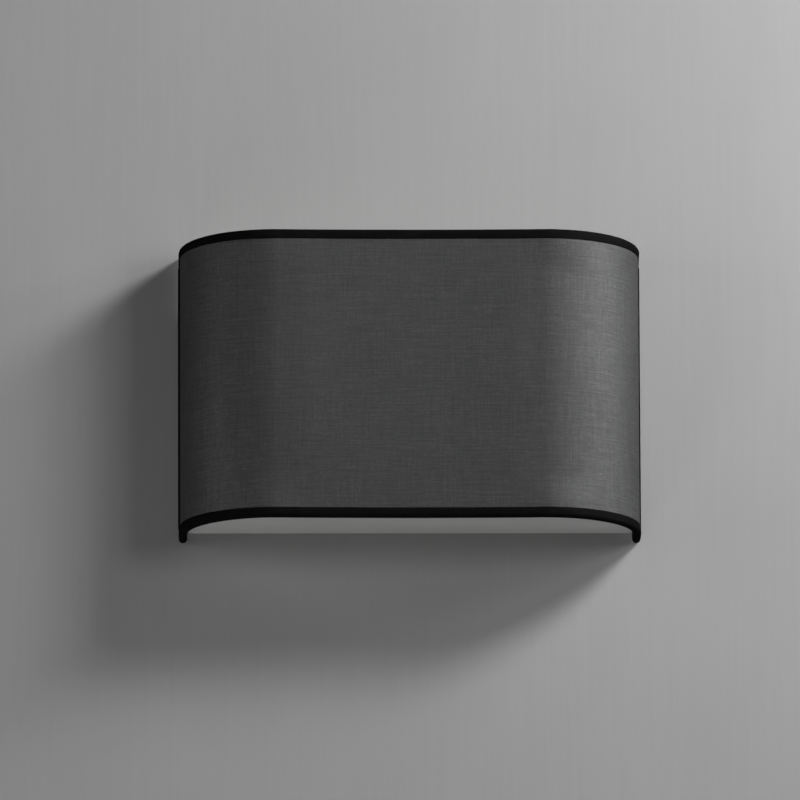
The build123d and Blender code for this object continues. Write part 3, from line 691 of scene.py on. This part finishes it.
# rims: the tape runs on square to the rear, over the ends of the rear tapes
TAPE_END_Y = -0.0011
rim_plan, rim_len = plan_line(TAPE_END_Y, 0.0013, 0.0010)
rim_total = float(rim_len[-1])
rim_overrun = TAPE_END_Y - REAR_Y
frames = [(Vector((x, y, 0.0)), Vector((-nx, -ny, 0.0)), Vector((0, 0, 1.0)))
          for x, y, nx, ny in rim_plan]
for name, sign, seed, leg, hug in (("trim_top", 1, 11, 0.0084, True),
                                   ("trim_bottom", -1, 23, 0.0063, False)):
    def section(i, s=sign, sd=seed, lg=leg, hg=hug):
        e = min(float(rim_len[i]), rim_total - float(rim_len[i])) - rim_overrun
        lean = drawn_in(e) * min(1.0, max(0.0, (e - 0.002) / 0.010))
        return [(u, s * v) for u, v in
                tape_profile(i, sd, lg, hg, lean=lean, lean_in=drawn_in(e))]
    ob = sweep_section(name + "_tape", frames, section, uv_u=[float(v) for v in rim_len])
    ob.data.materials.append(M["binding_tape"])
    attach(ob, "shade")
    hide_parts(name)

# rear edges: the same tape straight down the uprights, tucked under the rims
for side, name, seed in ((-1, "trim_rear_left", 37), (1, "trim_rear_right", 41)):
    top_z = 0.0930
    count = 150
    zs = [top_z * (1 - 2 * k / (count - 1)) for k in range(count)]
    fr = [(Vector((side * HALF_W, REAR_Y - RIM_Z, z)), Vector((-side, 0, 0)),
           Vector((0, 1.0, 0))) for z in zs]

    def section(i, sd=seed, zz=zs):
        tuck = min(1.0, max(0.0, (0.0890 - abs(zz[i])) / 0.0025))
        tuck = tuck * tuck * (3 - 2 * tuck)
        return tape_profile(i, sd, 0.0070, False, lean=0.00038 + 0.00040 * tuck,
                            proud=-0.00034 + 0.00070 * tuck)
    ob = sweep_section(name + "_tape", fr, section, uv_u=[top_z - z for z in zs])
    ob.data.materials.append(M["binding_tape"])
    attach(ob, "shade")
    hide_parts(name)

# --------------------------------------------------------------------------
# diffuser: plate with eased edges
# --------------------------------------------------------------------------
def diffuser_mesh():
    inset = 0.0037
    pl, ln = plan_line(-0.0102, 0.004, 0.0016)
    outline = [(x - nx * inset, y - ny * inset) for x, y, nx, ny in pl]
    # notched rear corners
    outline = [(-0.1437, -0.0020), (-0.1437, -0.0102)] + outline + [(0.1437, -0.0102), (0.1437, -0.0020)]
    clean = []
    for p in outline:
        if not clean or math.hypot(p[0] - clean[-1][0], p[1] - clean[-1][1]) > 1e-5:
            clean.append(p)
    z0, z1 = -0.0892, -0.0872
    bm = bmesh.new()
    lower = [bm.verts.new((x, y, z0)) for x, y in clean]
    face = bm.faces.new(lower)
    res = bmesh.ops.extrude_face_region(bm, geom=[face])
    moved = [g for g in res["geom"] if isinstance(g, bmesh.types.BMVert)]
    bmesh.ops.translate(bm, vec=(0, 0, z1 - z0), verts=moved)
    bmesh.ops.recalc_face_normals(bm, faces=bm.faces)
    rim = [e for e in bm.edges if abs(e.verts[0].co.z - e.verts[1].co.z) < 1e-7]
    bmesh.ops.bevel(bm, geom=rim, offset=0.00035, segments=3, profile=0.5, affect="EDGES")
    me = bpy.data.meshes.new("diffuser_plate")
    bm.to_mesh(me)
    bm.free()
    ob = bpy.data.objects.new("diffuser_plate", me)
    scene.collection.objects.link(ob)
    for p in me.polygons:
        p.use_smooth = True
    try:
        me.set_sharp_from_angle(angle=math.radians(35))
    except Exception:
        pass
    return ob


diffuser = diffuser_mesh()
diffuser.data.materials.append(M["opal_acrylic"])
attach(diffuser, "diffuser")
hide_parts("diffuser")


# --------------------------------------------------------------------------
# stage: pale plaster wall, pale floor far below, soft studio light
# --------------------------------------------------------------------------
def one_sided(mat):
    """The stage is seen from its front only, so views from behind stay open."""
    t = mat.node_tree
    out = [n for n in t.nodes if n.type == "OUTPUT_MATERIAL"][0]
    bsdf = t.nodes["Principled BSDF"]
    geo = t.nodes.new("ShaderNodeNewGeometry")
    tr = t.nodes.new("ShaderNodeBsdfTransparent")
    mx = t.nodes.new("ShaderNodeMixShader")
    t.links.new(geo.outputs["Backfacing"], mx.inputs[0])
    t.links.new(bsdf.outputs[0], mx.inputs[1])
    t.links.new(tr.outputs[0], mx.inputs[2])
    t.links.new(mx.outputs[0], out.inputs["Surface"])


def plaster(name, base):
    m = Mat(name, base, 0.85, 0.2)
    co = m.coord.outputs["Object"]
    streak = m.noise(m.scaled(co, 260.0, 260.0, 9.0), 1.0, 4.0, 0.6)
    cloud = m.noise(m.scaled(co, 6.0, 6.0, 3.0), 1.0, 4.0, 0.6)
    s = m.math("ADD", m.math("MULTIPLY", streak, 0.35), m.math("MULTIPLY", cloud, 0.65))
    m.color(m.ramp(s, [(0.3, tuple(c * 0.95 for c in base)), (0.7, tuple(c * 1.04 for c in base))]))
    m.bump(m.noise(m.scaled(co, 300.0, 300.0, 90.0), 1.0, 4.0, 0.6), 0.0002, 0.25)
    one_sided(m.m)
    return m.m


def plane(name, corners, mat):
    ob = new_object(name, corners, [(0, 1, 2, 3)], smooth=False)
    ob.data.materials.append(mat)
    return ob


wall = plane("wall", [(-2.5, 0.0004, -2.6), (2.5, 0.0004, -2.6), (2.5, 0.0004, 2.5), (-2.5, 0.0004, 2.5)],
             plaster("plaster", (0.50, 0.50, 0.50)))
floor = plane("floor", [(-2.5, -12.0, -2.6), (2.5, -12.0, -2.6), (2.5, 0.0004, -2.6), (-2.5, 0.0004, -2.6)],
              plaster("floor_pale", (0.62, 0.62, 0.61)))
wall.visible_glossy = False
wall.visible_transmission = False
wall.visible_shadow = False


def area(name, loc, target, size, power, shape="DISK", size_y=None, color=(1, 1, 1)):
    d = bpy.data.lights.new(name, "AREA")
    d.shape = shape
    d.size = size
    if size_y:
        d.size_y = size_y
    d.energy = power
    d.color = color
    ob = bpy.data.objects.new(name, d)
    scene.collection.objects.link(ob)
    ob.location = loc
    ob.rotation_euler = (Vector(target) - Vector(loc)).to_track_quat("-Z", "Y").to_euler()
    return ob


def from_side(azimuth, elevation, distance):
    """Point at an azimuth (0 in front, positive to the right) round the light."""
    a, e = math.radians(azimuth), math.radians(elevation)
    return (math.sin(a) * math.cos(e) * distance,
            -math.cos(a) * math.cos(e) * distance, math.sin(e) * distance)


AT = (0.0, -0.03, 0.0)
area("key_a", from_side(58, 30, 1.6), AT, 0.36, 9.2)
area("key_b", from_side(47, 31, 1.6), AT, 0.36, 8.8)
area("side_high", from_side(80, 42, 1.6), AT, 0.34, 7.1)
area("side_low", from_side(80, 16, 1.6), AT, 0.34, 5.5)
area("front", from_side(36, 3, 1.6), AT, 0.4, 3.0)
area("left", from_side(-66, 2, 1.6), AT, 0.8, 3.5)
area("below", from_side(-62, -64, 1.6), AT, 0.6, 3.95)
# weak fill from behind the wall, so that the rear is not lost in the dark
for name, az, el, power in (("rear_a", 176, 24, 5.0), ("rear_b", -174, -12, 2.0)):
    area(name, from_side(az, el, 1.6), AT, 0.5, power).visible_glossy = False

world = bpy.data.worlds.new("studio")
world.use_nodes = True
world.node_tree.nodes["Background"].inputs["Color"].default_value = (1, 1, 1, 1)
world.node_tree.nodes["Background"].inputs["Strength"].default_value = 0.016
scene.world = world
scene.view_settings.view_transform = "Standard"
